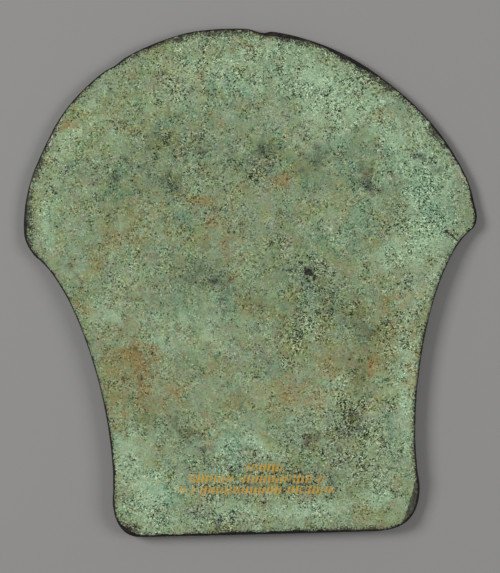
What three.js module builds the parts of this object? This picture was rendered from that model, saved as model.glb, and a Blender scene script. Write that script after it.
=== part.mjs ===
// A flat copper axe head: one hammered plate with a nearly semicircular cutting edge, two wing tips,
// hollowed flanks and a square butt. It lies on its back face.
// Millimetres, +Z up. The cutting edge points along +Y and the butt along -Y. The origin is the middle
// of the outline's box, on the surface that the axe lies on.

import * as THREE from "three";

// The cutting edge is a circle's arc that leans a little to the left.
const BLADE_RADIUS = 72.6;
const BLADE_CENTRE = new THREE.Vector2(0, 7.4);
const BLADE_LEAN = -0.09; // sideways shift for each millimetre above the wing tips
const BLADE_LEAN_FROM = 19.4;
const ARC_FROM_DEGREES = 11;
const ARC_TO_DEGREES = 169.5;

// Places where wear and blows took the cutting edge off its circle: the direction from the circle's
// centre and the half-width in degrees, and the depth in millimetres, negative where the edge swells.
const EDGE_WEAR = [
  { place: "slack above the right tip", at: 9, depth: 0.95, spread: 5 },
  { place: "slack right shoulder", at: 46, depth: 0.4, spread: 10 },
  { place: "nick beside the crown", at: 80.5, depth: 0.95, spread: 1.7 },
  { place: "swell left of the crown", at: 98, depth: -0.25, spread: 6 },
  { place: "dent on the left", at: 119, depth: 0.45, spread: 2 },
  { place: "slack left shoulder", at: 148, depth: 0.45, spread: 7 },
  { place: "slack above the left tip", at: 171, depth: 0.35, spread: 5 },
];

// Each flank is one hollow curve, the same on both sides, from the wing tip down to the butt.
const FLANK_TOP = new THREE.Vector2(68, 12);
const FLANK_UPPER_PULL = new THREE.Vector2(55.2, 1.6);
const FLANK_LOWER_PULL = new THREE.Vector2(45, -40);
const FLANK_FOOT = new THREE.Vector2(48.2, -66);

// The wing tips: the right one is squarer, the left one is worn rounder.
const RIGHT_TIP_PULL = new THREE.Vector2(72.2, 14.2);
const LEFT_TIP_PULL = new THREE.Vector2(-71.5, 16.4);

// The butt is a slack line that falls to the right, between two unlike corners.
const BUTT_LEFT = new THREE.Vector2(-40, -77.5);
const BUTT_RIGHT = new THREE.Vector2(34, -79.85);
const BUTT_SAG = new THREE.Vector2(8, -79.2);
const LEFT_CORNER_PULL = new THREE.Vector2(-48, -77);
const RIGHT_CORNER_PULL = new THREE.Vector2(48, -79.9);

// Steps along each stretch of the outline.
const STEPS = { blade: 92, tip: 5, flank: 25, corner: 7, butt: 14 };

// The plate, and how much of its thickness is left at the rim.
const THICKNESS = 7;
const CUTTING_EDGE_SHARE = 0.17;
const BEVEL_WIDTH = 27;
const BEVEL_POWER = 2.2;
const SIDE_SHARE = 0.62;
const SIDE_FALL_WIDTH = 14;
const SIDE_FALL_SHARE = 0.14;
const SIDE_ROUND = 1.8;
const BACK_SHARE = 0.38; // the back face gives this share of the thinning, the front face the rest

// A corner of the front face at the right end of the butt is broken off along a sloping facet.
const CHIP_FROM = new THREE.Vector2(46.6, -65);
const CHIP_TO = new THREE.Vector2(42, -78.2);
const CHIP_TOP = 6.2;
const CHIP_SLOPE = 0.7;

// Each ring of the mesh is the outline drawn in towards this point by these shares.
const HUB = new THREE.Vector2(0, -25);
const RING_SHARES = [0.99, 0.968, 0.93, 0.88, 0.81, 0.72, 0.62];

function mirrored(point) {
  return new THREE.Vector2(-point.x, point.y);
}

// How far the worn edge lies inside the circle, in one direction from its centre.
function wearAt(degrees) {
  return EDGE_WEAR.reduce(
    (sum, wear) => sum + wear.depth * Math.exp(-(((degrees - wear.at) / wear.spread) ** 2)),
    0,
  );
}

function bladePoint(degrees) {
  const angle = THREE.MathUtils.degToRad(degrees);
  const radius = BLADE_RADIUS - wearAt(degrees);
  const y = BLADE_CENTRE.y + radius * Math.sin(angle);
  const lean = BLADE_LEAN * (y - BLADE_LEAN_FROM);
  return new THREE.Vector2(BLADE_CENTRE.x + radius * Math.cos(angle) + lean, y);
}

function bladeArc() {
  const sweep = ARC_TO_DEGREES - ARC_FROM_DEGREES;
  return Array.from({ length: STEPS.blade + 1 }, (_, i) =>
    bladePoint(ARC_FROM_DEGREES + (sweep * i) / STEPS.blade),
  );
}

function bend(from, pull, to, steps) {
  return new THREE.QuadraticBezierCurve(from, pull, to).getPoints(steps);
}

function rightFlank() {
  return new THREE.CubicBezierCurve(
    FLANK_FOOT,
    FLANK_LOWER_PULL,
    FLANK_UPPER_PULL,
    FLANK_TOP,
  ).getPoints(STEPS.flank);
}

// The outline, anticlockwise from the butt's left end, with the stretches that the thickness follows.
function drawOutline() {
  const blade = bladeArc();
  const right = rightFlank();
  const left = right.map(mirrored).reverse();
  const side = [
    ...left,
    ...bend(mirrored(FLANK_FOOT), LEFT_CORNER_PULL, BUTT_LEFT, STEPS.corner).slice(1),
    ...bend(BUTT_LEFT, BUTT_SAG, BUTT_RIGHT, STEPS.butt).slice(1),
    ...bend(BUTT_RIGHT, RIGHT_CORNER_PULL, FLANK_FOOT, STEPS.corner).slice(1),
    ...right.slice(1),
  ];
  const rightTip = bend(FLANK_TOP, RIGHT_TIP_PULL, blade[0], STEPS.tip).slice(1, -1);
  const leftTip = bend(blade.at(-1), LEFT_TIP_PULL, mirrored(FLANK_TOP), STEPS.tip).slice(1, -1);
  return { blade, side, loop: [...side, ...rightTip, ...blade, ...leftTip] };
}

function distanceToLine(point, line) {
  let nearest = Infinity;
  const along = new THREE.Vector2();
  const out = new THREE.Vector2();
  for (let i = 1; i < line.length; i += 1) {
    along.subVectors(line[i], line[i - 1]);
    out.subVectors(point, line[i - 1]);
    const share = THREE.MathUtils.clamp(out.dot(along) / along.lengthSq(), 0, 1);
    nearest = Math.min(nearest, out.addScaledVector(along, -share).length());
  }
  return nearest;
}

// Share of the full thickness left by the long bevel behind the cutting edge.
function bevelShare(distance) {
  const u = Math.min(distance / BEVEL_WIDTH, 1);
  return 1 - (1 - CUTTING_EDGE_SHARE) * (1 - u) ** BEVEL_POWER;
}

// Share of the full thickness left by the gentle fall to the flanks and butt, and by their round arris.
function sideShare(distance) {
  const fall = SIDE_FALL_SHARE * (1 - Math.min(distance / SIDE_FALL_WIDTH, 1)) ** 2;
  const u = 1 - Math.min(distance / SIDE_ROUND, 1);
  const arris = (1 - SIDE_FALL_SHARE - SIDE_SHARE) * (1 - Math.sqrt(1 - u * u));
  return 1 - fall - arris;
}

// Height of the broken facet over a point, or no limit on the sound side of its inner line.
function chipHeight(point) {
  const along = CHIP_TO.clone().sub(CHIP_FROM).normalize();
  const outward = new THREE.Vector2(-along.y, along.x);
  const beyond = point.clone().sub(CHIP_FROM).dot(outward);
  return beyond > 0 ? CHIP_TOP - CHIP_SLOPE * beyond : Infinity;
}

// Heights of the back and front faces over one point of the plan.
function faceHeights(point, outline) {
  const share =
    bevelShare(distanceToLine(point, outline.blade)) *
    sideShare(distanceToLine(point, outline.side));
  const back = BACK_SHARE * THICKNESS * (1 - share);
  return { back, front: Math.min(back + THICKNESS * share, chipHeight(point)) };
}

// The plate as one closed mesh: a rim at mid-thickness, rings drawn in over both faces, and a flat
// middle that closes each face on the hub.
function plateGeometry() {
  const outline = drawOutline();
  const count = outline.loop.length;
  const box = new THREE.Box2().setFromPoints(outline.loop);
  const middle = box.getCenter(new THREE.Vector2());
  const positions = [];
  const triangles = [];

  const addPoint = (point, z) => {
    positions.push(point.x - middle.x, point.y - middle.y, z);
    return positions.length / 3 - 1;
  };
  const ringAt = (share, heightOf) =>
    outline.loop.map((rim) => {
      const point = HUB.clone().lerp(rim, share);
      return addPoint(point, heightOf(faceHeights(point, outline)));
    });
  const joinRings = (outer, inner, facesUp) => {
    for (let i = 0; i < count; i += 1) {
      const j = (i + 1) % count;
      const [a, b, c, d] = [outer[i], outer[j], inner[j], inner[i]];
      if (facesUp) triangles.push(a, b, c, a, c, d);
      else triangles.push(a, c, b, a, d, c);
    }
  };
  const closeFace = (ring, hub, facesUp) => {
    for (let i = 0; i < count; i += 1) {
      const j = (i + 1) % count;
      if (facesUp) triangles.push(ring[i], ring[j], hub);
      else triangles.push(ring[j], ring[i], hub);
    }
  };

  const rim = ringAt(1, ({ back, front }) => (back + front) / 2);
  for (const facesUp of [true, false]) {
    const heightOf = ({ back, front }) => (facesUp ? front : back);
    const rings = [rim, ...RING_SHARES.map((share) => ringAt(share, heightOf))];
    for (let k = 1; k < rings.length; k += 1) joinRings(rings[k - 1], rings[k], facesUp);
    closeFace(rings.at(-1), addPoint(HUB, heightOf(faceHeights(HUB, outline))), facesUp);
  }

  const geometry = new THREE.BufferGeometry();
  geometry.setAttribute("position", new THREE.Float32BufferAttribute(positions, 3));
  geometry.setIndex(triangles);
  geometry.computeVertexNormals();
  return geometry;
}

function axeHead() {
  const patina = new THREE.MeshStandardMaterial({
    color: 0x7d8b6c,
    roughness: 0.8,
    metalness: 0.1,
  });
  const mesh = new THREE.Mesh(plateGeometry(), patina);
  mesh.name = "axe_head";
  return mesh;
}

const part = new THREE.Group();
part.add(axeHead());

export default part;
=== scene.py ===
"""A flat copper axe head under an old green patina, lying on a pale floor.

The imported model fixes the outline, the thickness and the place. This script builds the same plate
again with a finer skin, dresses it as patinated copper, and sets the studio and the camera.
Lengths are in millimetres unless a name says otherwise. +Y points at the cutting edge, +Z up.
"""

import logging
import math
from dataclasses import dataclass, field
from enum import Enum

import bpy
import numpy as np
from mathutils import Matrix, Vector, geometry, kdtree, noise


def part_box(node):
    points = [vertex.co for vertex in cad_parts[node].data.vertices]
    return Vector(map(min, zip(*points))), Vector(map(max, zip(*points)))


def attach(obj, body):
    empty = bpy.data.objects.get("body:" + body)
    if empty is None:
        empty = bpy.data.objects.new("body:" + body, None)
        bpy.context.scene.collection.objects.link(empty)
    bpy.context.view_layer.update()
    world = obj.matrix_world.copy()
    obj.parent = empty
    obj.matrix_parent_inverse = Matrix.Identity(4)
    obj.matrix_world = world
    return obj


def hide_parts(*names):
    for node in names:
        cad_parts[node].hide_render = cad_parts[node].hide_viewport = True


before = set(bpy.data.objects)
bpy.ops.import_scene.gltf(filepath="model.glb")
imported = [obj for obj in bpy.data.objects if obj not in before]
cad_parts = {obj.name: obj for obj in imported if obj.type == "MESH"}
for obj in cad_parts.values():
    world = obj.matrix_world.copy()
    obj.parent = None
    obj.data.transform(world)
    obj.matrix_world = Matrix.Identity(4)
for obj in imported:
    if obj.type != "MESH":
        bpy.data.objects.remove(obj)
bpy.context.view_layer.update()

MM = 0.001
LOG = logging.getLogger("axe_head")

Tree = bpy.types.NodeTree
Socket = bpy.types.NodeSocket

# Sockets of the Mix node when it mixes colours.
MIX_FACTOR, MIX_BELOW, MIX_ABOVE, MIX_RESULT = 0, 6, 7, 2


def linear(hex_colour: str) -> tuple[float, float, float, float]:
    """Turns an sRGB hex colour into Blender's linear colour.

    Args:
        hex_colour: the colour as "#rrggbb".

    Returns:
        Linear red, green and blue, and full alpha.
    """
    channels = (int(hex_colour[i : i + 2], 16) / 255 for i in (1, 3, 5))
    red, green, blue = (c / 12.92 if c <= 0.04045 else ((c + 0.055) / 1.055) ** 2.4 for c in channels)
    return red, green, blue, 1.0


def add_node(
    tree: Tree,
    kind: str,
    inputs: dict[int | str, object] | tuple[object, ...] = (),
    output: int | str = 0,
    **settings: object,
) -> Socket | None:
    """Adds a node, sets it and links it.

    Args:
        tree: the node tree that gets the node.
        kind: the node's Blender type without "ShaderNode", such as "TexNoise".
        inputs: a value or an output socket for each input, in order, or by name or number.
        output: the output to give back, by name or number.
        settings: the node's own properties.

    Returns:
        That output socket, or None for a node that has no outputs.
    """
    node = tree.nodes.new("ShaderNode" + kind)
    for name, value in settings.items():
        setattr(node, name, value)
    numbered = inputs if isinstance(inputs, dict) else dict(enumerate(inputs))
    for key, value in numbered.items():
        if isinstance(value, Socket):
            tree.links.new(value, node.inputs[key])
        else:
            node.inputs[key].default_value = value
    return node.outputs[output] if node.outputs else None


def new_material(name: str) -> tuple[bpy.types.Material, Socket]:
    """Starts a material.

    Args:
        name: the material's name.

    Returns:
        The material with nothing in it but its place, and that place in mm.
    """
    material = bpy.data.materials.new(name)
    material.use_nodes = True
    tree = material.node_tree
    tree.nodes.clear()
    place = add_node(tree, "TexCoord", output="Object")
    return material, add_node(tree, "VectorMath", {0: place, "Scale": 1 / MM}, operation="SCALE")


def spread(
    at: Socket, length: float, seed: float, detail: float = 3.0, roughness: float = 0.6
) -> dict[str, object]:
    """Inputs of a noise that has a real size.

    Args:
        at: the place in mm.
        length: the broadest waves' length in mm.
        seed: picks one of many unlike patterns.
        detail: how many finer waves are added.
        roughness: how strong the finer waves are.

    Returns:
        The noise node's inputs by name.
    """
    return {"Vector": at, "W": seed, "Scale": 1 / length, "Detail": detail, "Roughness": roughness}


def waves(points: np.ndarray, length: float, seed: float, octaves: int = 3) -> np.ndarray:
    """Fractal noise over the plan.

    Args:
        points: plan points in mm, one row each.
        length: the broadest wave's length in mm.
        seed: picks one of many unlike patterns.
        octaves: how many waves are laid over each other, each half as long as the last.

    Returns:
        A value from about -1 to 1 for each point.
    """
    return np.array(
        [noise.fractal(Vector((x / length, y / length, seed)), 1.0, 2.0, octaves) for x, y in points]
    )


def ramp(values: np.ndarray, low: float, high: float) -> np.ndarray:
    """Rises smoothly from 0 at low to 1 at high."""
    share = np.clip((values - low) / (high - low), 0, 1)
    return share * share * (3 - 2 * share)


class Tint(Enum):
    """What a patch of the surface shows instead of plain sage green. The value names its attribute."""

    MINT = "tint_mint"
    TEAL = "tint_teal"
    OCHRE = "tint_ochre"
    RUST = "tint_rust"
    UMBER = "tint_umber"
    SLATE = "tint_slate"
    OLIVE = "tint_olive"
    GRIT = "tint_grit"
    # The last two only lighten or darken the crust: partly its own paler and darker patches, partly
    # painted highlight where the bevels face the lamps and painted shade of the face's broad form.
    LIGHT = "tint_light_and_highlight"
    DIM_AND_SHADE = "tint_dim_and_shade"


@dataclass(frozen=True)
class Stain:
    """A soft-edged patch: its middle, its reach, how much it covers, and its shape if it is long."""

    x: float
    y: float
    reach: float
    cover: float = 0.6
    stretch: float = 1.0
    turn: float = 0.0

    def over(self, points: np.ndarray) -> np.ndarray:
        """How strongly the patch covers each point, from 0 to 1."""
        angle = math.radians(self.turn)
        east = points[:, 0] - self.x
        north = points[:, 1] - self.y
        along = (east * math.cos(angle) + north * math.sin(angle)) / self.stretch
        across = north * math.cos(angle) - east * math.sin(angle)
        return self.cover * np.exp(-(along**2 + across**2) / self.reach**2)


# Where the front face shows each tint, given in the plan's millimetres. Each row is a stain:
# x, y, reach and cover, then stretch and turn if it is long.
FRONT_STAINS: dict[Tint, tuple[tuple[float, ...], ...]] = {
    Tint.MINT: (
        (4, 68, 12, 0.6, 2.4), (30, 56, 10, 0.9, 1.7, -35), (17, 63, 7, 0.55, 1.5),
        (20, 50, 4, 0.6, 1.6, 30), (46, 42, 5, 0.8, 3, -62), (53, 26, 7, 0.95, 1.7, -80),
        (60, 30, 6, 0.8, 2.2, -70), (56, 44, 5, 0.6, 1.8, -50), (54, 10, 8, 0.9, 1.3, 40),
        (44, 6, 6, 0.7, 1.7, 20), (-63, 24, 3.5, 0.7, 2.6, 95), (-53, 50, 6, 0.6, 1.8, 55),
        (-43, 60, 5, 0.35), (-46, -8, 6, 0.7, 1.6, -60), (-20, -12, 9, 0.5, 1.5),
        (47, -35, 5, 0.95, 5, 88), (25, -33, 5, 0.5, 1.4, -30), (14, -31, 3, 0.5), (15, -46, 2.4, 0.7),
        (-42, -56, 7, 0.95, 2, 98), (-34, -66, 7, 0.8, 1.6, 30), (-14, -49, 5, 0.8, 1.5),
        (-3, -51, 4, 0.7), (15, -72, 4.5, 0.8, 4), (36, -68, 5, 0.8), (-13, -71, 4, 0.6, 1.8),
        (-2, -42, 4, 0.4),
    ),
    Tint.TEAL: (
        (0, 62, 9, 0.5, 1.6), (-24, 51, 4, 0.7, 1.6, 30), (-11, 51, 3.4, 0.6, 1.5), (-10, 59, 3, 0.7),
        (28, 60, 4, 0.5), (33, 33, 4, 0.7, 2, -75), (33, 16, 6, 0.95, 1.3, 60), (33, 42, 5, 0.6, 1.5),
        (46, 37, 5, 0.6), (55, 24, 8, 0.6, 1.8, -60), (49, 53, 3, 0.6), (60, 18, 5, 0.6),
        (-20, 21, 2.5, 0.9), (-22, 33, 3, 0.7), (-41, 29, 4, 0.7, 1.6), (-49, 47, 3, 0.6),
        (-55, 40, 2.6, 0.5), (-38, 36, 5, 0.4, 2, -20), (7, 33, 3, 0.6, 1.6, 20), (-8, 25, 3, 0.5),
        (-22, -20, 3, 0.5), (-25, -8, 4, 0.5), (-8, -6, 4, 0.6, 1.6, -75), (-11, -49, 6, 0.7, 1.5),
        (-26, -54, 5, 0.5, 1.6), (6, -45, 5, 0.5), (40, -50, 4.5, 0.6, 1.8, 90),
        (40, -35, 4, 0.6, 1.8, 80), (-30, -64, 5, 0.7, 1.6, -20), (-8, 41, 5, 0.4),
        (44, -64, 4, 0.4, 2, 90), (-36, 52, 4, 0.5), (-27, 36, 5, 0.5, 1.3, 20),
        (9, 48, 5, 0.5, 1.6, -20), (28, 40, 3.5, 0.6), (31, 27, 4, 0.5, 1.6, -70), (37, 14, 4, 0.6),
        (28, 4, 3.5, 0.5), (0, -7, 3, 0.5), (-6, -13, 3, 0.5), (-46, -33, 3.5, 0.5),
        (-9, -57, 5, 0.6, 1.5), (1, -60, 3, 0.6), (-53, 7, 4, 0.5), (-18, -15, 3, 0.7),
        (10, 43, 3.5, 0.6), (18, 31, 4, 0.6), (24, 11, 4, 0.6), (-46, 52, 3, 0.5), (-45, 32, 3, 0.5),
        (1, -51, 3, 0.5), (11, -57, 3.5, 0.6), (-29, -68, 4, 0.6, 1.8, 80),
    ),
    Tint.OCHRE: (
        (-2, 24, 13, 0.22, 1.3), (-10, 12, 8, 0.4, 1.5), (-36, 20, 11, 0.4, 1.2, 80), (-14, 44, 5, 0.4),
        (-24, 62, 9, 0.3, 1.7, 60), (-45, 55, 6, 0.3), (10, 31, 3.6, 0.9), (-14, 26, 3, 0.9),
        (-12, 20, 2.6, 0.6), (27, 23, 3.4, 0.45), (30, 53, 4, 0.35), (44, 50, 5, 0.45),
        (40, -10, 4, 0.6), (40, -19, 6, 0.55, 1.4, 60), (24, -27, 5, 0.7), (33, -30, 5, 0.65, 1.4, 60),
        (18, -36, 6, 0.6), (20, -28, 4, 0.7), (9, -40, 3, 0.5), (-17, -49, 3, 0.6),
        (48, -25, 3, 0.55, 6, 88), (-47, -60, 3, 0.5, 3, 92), (7, -34, 6, 0.7, 1.3, -20),
        (-8, -36, 4, 0.6), (-24, -32, 4, 0.6), (-18, -44, 5, 0.55), (-33, -52, 3, 0.45),
        (-38, -25, 9, 0.65, 1.5, 80), (-30, -36, 6, 0.4), (-47, -25, 4, 0.5, 3.4, 100),
        (-44, -40, 4, 0.4, 2, 95), (-52, -4, 3.4, 0.5, 3, 118), (-41, -63, 5, 0.35, 1.6, 90),
        (30, -76, 7, 0.35, 3), (-14, 66, 2.6, 0.6), (2, -5, 9, 0.3), (0, -15, 6, 0.25),
        (15, 64, 5, 0.3), (48, -37, 2.5, 0.4, 4, 88), (-30, -38, 4, 0.3), (46, -6, 4, 0.4),
        (38, 31, 3.5, 0.35),
    ),
    Tint.RUST: (
        (-38, -20, 4, 0.75, 1.3), (-37, -28, 3.8, 0.85, 1.3, 80), (-37, -37, 3, 0.45),
        (-43, -19, 3, 0.4), (22, -26, 2.6, 0.45, 1.3, 30), (36, -26, 2.8, 0.75, 1.3, 40),
        (33, -30, 3.4, 0.4), (41, -9, 2.4, 0.5), (-36, 25, 3, 0.6, 1.5, 80), (-43, 16, 2.8, 0.6),
        (-44, 20, 2.4, 0.4), (-35, 67, 2.4, 0.7), (-54.5, 52, 3.2, 0.85), (-44, 56, 2, 0.4),
        (-15, 26, 1.8, 0.5), (36, 33, 3.4, 0.4), (-24, -32, 2.4, 0.5), (-31, -28, 3, 0.3),
        (6, -34, 2.6, 0.35), (8.1, 76.4, 1.3, 0.8), (-26, 53, 1.9, 0.2), (-3, -19, 2.6, 0.3),
    ),
    Tint.UMBER: (
        (36.6, 32.2, 3, 0.62, 1.3, 20), (14.5, -49.5, 2.4, 0.6, 1.6), (7.5, -49, 1.9, 0.45),
        (-9, 1.5, 2.2, 0.4), (-43, -75.5, 3.6, 1, 2, -20), (17.5, 2.1, 1.9, 0.5),
        (-37, -28, 1.7, 0.5, 1.6, 70), (-38.5, -19.5, 2.2, 0.45, 1.4), (0, -79, 1.4, 0.6, 14),
    ),
    Tint.SLATE: (
        (-3, 39, 7, 0.35, 4), (-25, 47, 3, 0.5), (-24, 32, 3, 0.85, 1.3, -60), (-19, 28, 2.4, 0.5),
        (-16, 42, 3.4, 0.6, 1.3, 60), (5, 40, 2.8, 0.75, 1.3, 30), (22, 39, 3.4, 0.65, 1.3),
        (17, 33, 2.6, 0.6), (37.6, 28.6, 2, 0.9, 1.5, -50), (41, 26, 2, 0.7), (47, 22, 2.6, 0.5),
        (-43, 33, 2.6, 0.7), (-50, 36, 2.2, 0.3), (-38, 38, 4, 0.35, 1.8), (43, 53, 2, 0.5),
        (-12, 1, 2.4, 0.9), (-18, 3, 4.5, 0.5, 1.8, -40), (-24, 21, 2.4, 0.6), (-14, 7, 3, 0.4),
        (10, 21, 1.9, 0.7), (2, 12, 1.9, 0.5), (24, -7, 7, 0.4, 1.8, -30), (30, -14, 5, 0.4),
        (14, -17, 2, 0.7), (8, -14, 2, 0.6), (4, -5, 4, 0.35), (3, -26, 2, 0.5),
        (35, -18, 2.6, 0.65, 1.5), (31, -32, 3, 0.5, 2.2, 80), (22, -28, 1.6, 0.5),
        (28, -44, 3.4, 0.95, 1.2, 20), (29, -48, 2.4, 0.7), (-24, -46, 3, 0.85, 1.5, -40),
        (-18, -50, 2.4, 0.7, 1.4, -40), (16, -49, 2.8, 0.6, 1.4), (8, -49, 2.4, 0.5),
        (23, -54, 1.8, 0.7), (54, 36, 1.2, 0.85, 3, -42), (60, 32, 1.7, 0.8),
        (58, 16, 2, 0.6, 1.6, -40), (8, 70, 2.2, 0.5, 1.6), (14, 61, 2.2, 0.4),
        (2, 57, 1.8, 0.5, 1.8, 90), (-28, 69, 1.8, 0.5), (-41, 63, 1.9, 0.6), (-40, 53, 2.2, 0.5),
        (-29, 46, 3, 0.5, 1.4, 60), (-35, -39, 3, 0.5, 1.8, -30), (-6, -37, 2, 0.4),
        (-4, -61, 3.5, 0.55, 1.6, -20), (14, -63, 6, 0.65, 1.8), (-12, -64, 5, 0.45, 1.8),
        (-14.8, -74, 1.7, 0.9, 1.4, 70), (62, 12, 1.3, 0.6, 2, -40), (17.3, 2.2, 2.6, 0.6),
        (-57, 8, 2.4, 0.5, 3, 118), (-36, 2, 5, 0.25, 1.6),
    ),
    Tint.OLIVE: (
        (31, -11, 6, 0.8, 1.3, -30), (40, -17, 4, 0.8), (39, -25, 4, 0.8, 1.3, 80),
        (31, -31, 5, 0.7, 1.4, 80), (29, -44, 3.5, 0.8), (51, -32, 1.8, 0.9, 10, 87),
        (11, -13, 5, 0.6, 1.4), (-23, -45, 3.5, 0.8), (-35, -41, 4, 0.6, 2), (-46, -31, 3, 0.7, 3, 100),
        (-54, 0, 3, 0.7, 1.8, 120), (-10, 0, 3, 0.6), (-5, -7, 4, 0.6), (10, 21, 3, 0.7),
        (5, 55, 3.5, 0.6, 1.5, 80), (7, 38, 3, 0.6), (-26, 46, 3.5, 0.7, 1.8, 20), (-23, 33, 3, 0.7),
        (-39, 58, 5, 0.6, 1.6), (-26, 67, 3.5, 0.6), (53, 39, 2.6, 0.7), (47, -2, 3, 0.6),
        (0, -30, 12, 0.3, 2), (34, -74, 3, 0.8, 2.2), (-49, -70, 3, 0.7, 2, 80),
    ),
    Tint.GRIT: (
        (50, 15, 20, 0.3, 1.6, 90), (26, 55, 9, 0.6), (35, 60, 7, 0.5), (57, 30, 6, 0.45, 1.4, 90),
        (57, 15, 5, 0.5), (44, -25, 7, 0.5, 2.2, 90), (28, -43, 6, 0.7, 1.4, -60), (22, -8, 8, 0.5),
        (15, 5, 5, 0.8, 1.8, 110), (13, -18, 4, 0.8, 2.2, 65), (0, -62, 11, 0.55, 3),
        (-15, -75, 4, 1, 1.5), (30, -55, 12, 0.4), (-40, -74, 8, 0.45, 1.6),
        (-60, 40, 8, 0.25, 2.2, 60), (-5, 68, 12, 0.45, 2.6), (-18, 40, 12, 0.25), (3, 35, 4, 0.5),
        (-40, 5, 9, 0.15), (-48, 20, 7, 0.1),
    ),
    # Lighter crust: partly its own paler patches, partly painted highlight on the bevels.
    Tint.LIGHT: (
        (-10, -53, 5, 0.9, 2.2), (-28, -62, 6, 0.6, 1.4, 70), (37, -44, 5, 0.7, 3.6, 86),
        (16, -43, 3.5, 0.7, 1.5, 80), (18, 44, 4, 0.6), (32, 22, 4, 0.7, 2, 80), (44, 40, 5, 0.6),
        (55, 28, 4, 0.7, 1.8, 80), (57, 0, 4, 0.6), (-42, 48, 6, 0.4), (-32, -71, 6, 0.5, 1.6),
        (54, 22, 10, 0.7, 1.6, 90), (50, 2, 8, 0.7, 1.5, 60), (46, -32, 6, 0.75, 4.5, 88),
        (-38, -62, 11, 0.8, 1.3, 60), (10, -72, 5, 0.6, 5), (-10, -50, 5, 0.6, 2.2),
        (-44, -10, 7, 0.6, 1.4, -60), (20, 56, 12, 0.6, 1.6, -20), (-10, 66, 9, 0.4, 3),
        (-57, 46, 8, 0.5, 1.6, 60), (50, 45, 7, 0.5, 1.6, -50), (-20, -14, 9, 0.4, 1.8),
        (36, 32, 2.6, 0.4), (0, -38, 12, 0.3, 2.5), (10, 22, 8, 0.3), (-10, -58, 4, 1, 1.4),
        (-2, -53, 4, 0.9, 1.6), (38, 50, 3.5, 0.6), (56, -8, 3, 0.9, 1.6, 80), (-60, 13, 3, 0.5),
        (-12, -71, 3.5, 0.7), (-1, -67, 3.5, 0.7, 1.6), (-31, -70, 5, 0.7, 1.4),
        (16, 46, 4, 0.8, 1.3, 40), (28, 40, 4, 0.8), (46, 38, 4, 0.7, 1.6, -40),
        (54, 27, 3.5, 0.8, 2.2, 95), (30, 16, 4, 0.8, 1.6), (24, -36, 5, 0.7), (16, -47, 2.6, 0.7),
        (-40, 1, 5, 0.5), (53, -5, 4, 0.8, 1.5, 60), (-14, 63, 3, 0.5, 2, 90), (24, 60, 3, 0.6),
        (40, -29, 4, 0.6, 1.6, 60), (46, -60, 4, 0.5, 3, 90),
    ),
    # Darker crust: partly its own darker patches, partly painted shade of the face's broad form.
    Tint.DIM_AND_SHADE: (
        (46, 29, 3, 0.6), (-66, 10, 3, 0.7), (10, 65, 4, 0.6, 1.6), (-40, 63, 4, 0.5), (3, -28, 4, 0.5),
        (12, 21, 3, 0.6), (46, 1, 3, 0.7), (51, 38, 2.4, 0.6), (-45, -62, 4, 0.4),
        (-3, 39, 7, 0.5, 4.6), (-28, 30, 9, 0.5, 1.8, -30), (-14, 2, 7, 0.55, 1.8, -30),
        (24, -6, 9, 0.5, 2, -20), (31, -32, 4, 0.6, 2.6, 80), (4, -6, 7, 0.4), (20, 34, 9, 0.4, 1.6),
        (38, 26, 5, 0.3), (0, -62, 5, 0.4, 3.6, -3), (-30, -42, 7, 0.4, 1.8, -35),
        (-44, -22, 6, 0.3, 2.4, 100), (-49, -62, 4, 0.4, 3, 92), (-30, 46, 7, 0.3), (-46, 35, 7, 0.3),
        (38, 42, 3, 0.7), (56, 34, 3, 0.8, 1.6, -40), (60, 30, 2, 0.6), (51, 18, 3, 0.6),
        (47, -25, 2.5, 0.6), (12, -50, 3, 0.6, 2.6, -5), (-8, -36, 3, 0.5), (-19, -31, 3, 0.5),
        (-43, 56, 3, 0.6), (54, 5, 3, 0.6), (47, 26, 3.5, 0.8, 1.6, 20), (15, 60, 5, 0.6, 1.5, 60),
        (-51, -5, 4, 0.5, 1.6, 120), (-51, 60, 4, 0.6, 1.6, 45), (-60, 47, 3, 0.6, 1.8, 60),
        (-41, -16, 4, 0.6, 1.6), (-26, -3, 5, 0.7, 2), (-26, -47, 4, 0.7, 1.5, -40), (3, -59, 3.5, 1),
        (1, -29, 4, 0.6), (36, -19, 4, 0.6, 1.8, -10), (9, 14, 3, 0.7), (45, -71, 3, 0.8),
        (-41, -71, 4, 0.9), (-44, -63, 3.5, 0.6, 1.8, 95), (11, 3, 4, 0.5, 1.6, 90),
    ),
}


def layered(rows: tuple[tuple[float, ...], ...], points: np.ndarray) -> np.ndarray:
    """Covers the points, from 0 to 1, with stains that lie over each other."""
    clear = np.ones(len(points))
    for row in rows:
        clear *= 1 - Stain(*row).over(points)
    return 1 - clear


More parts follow.
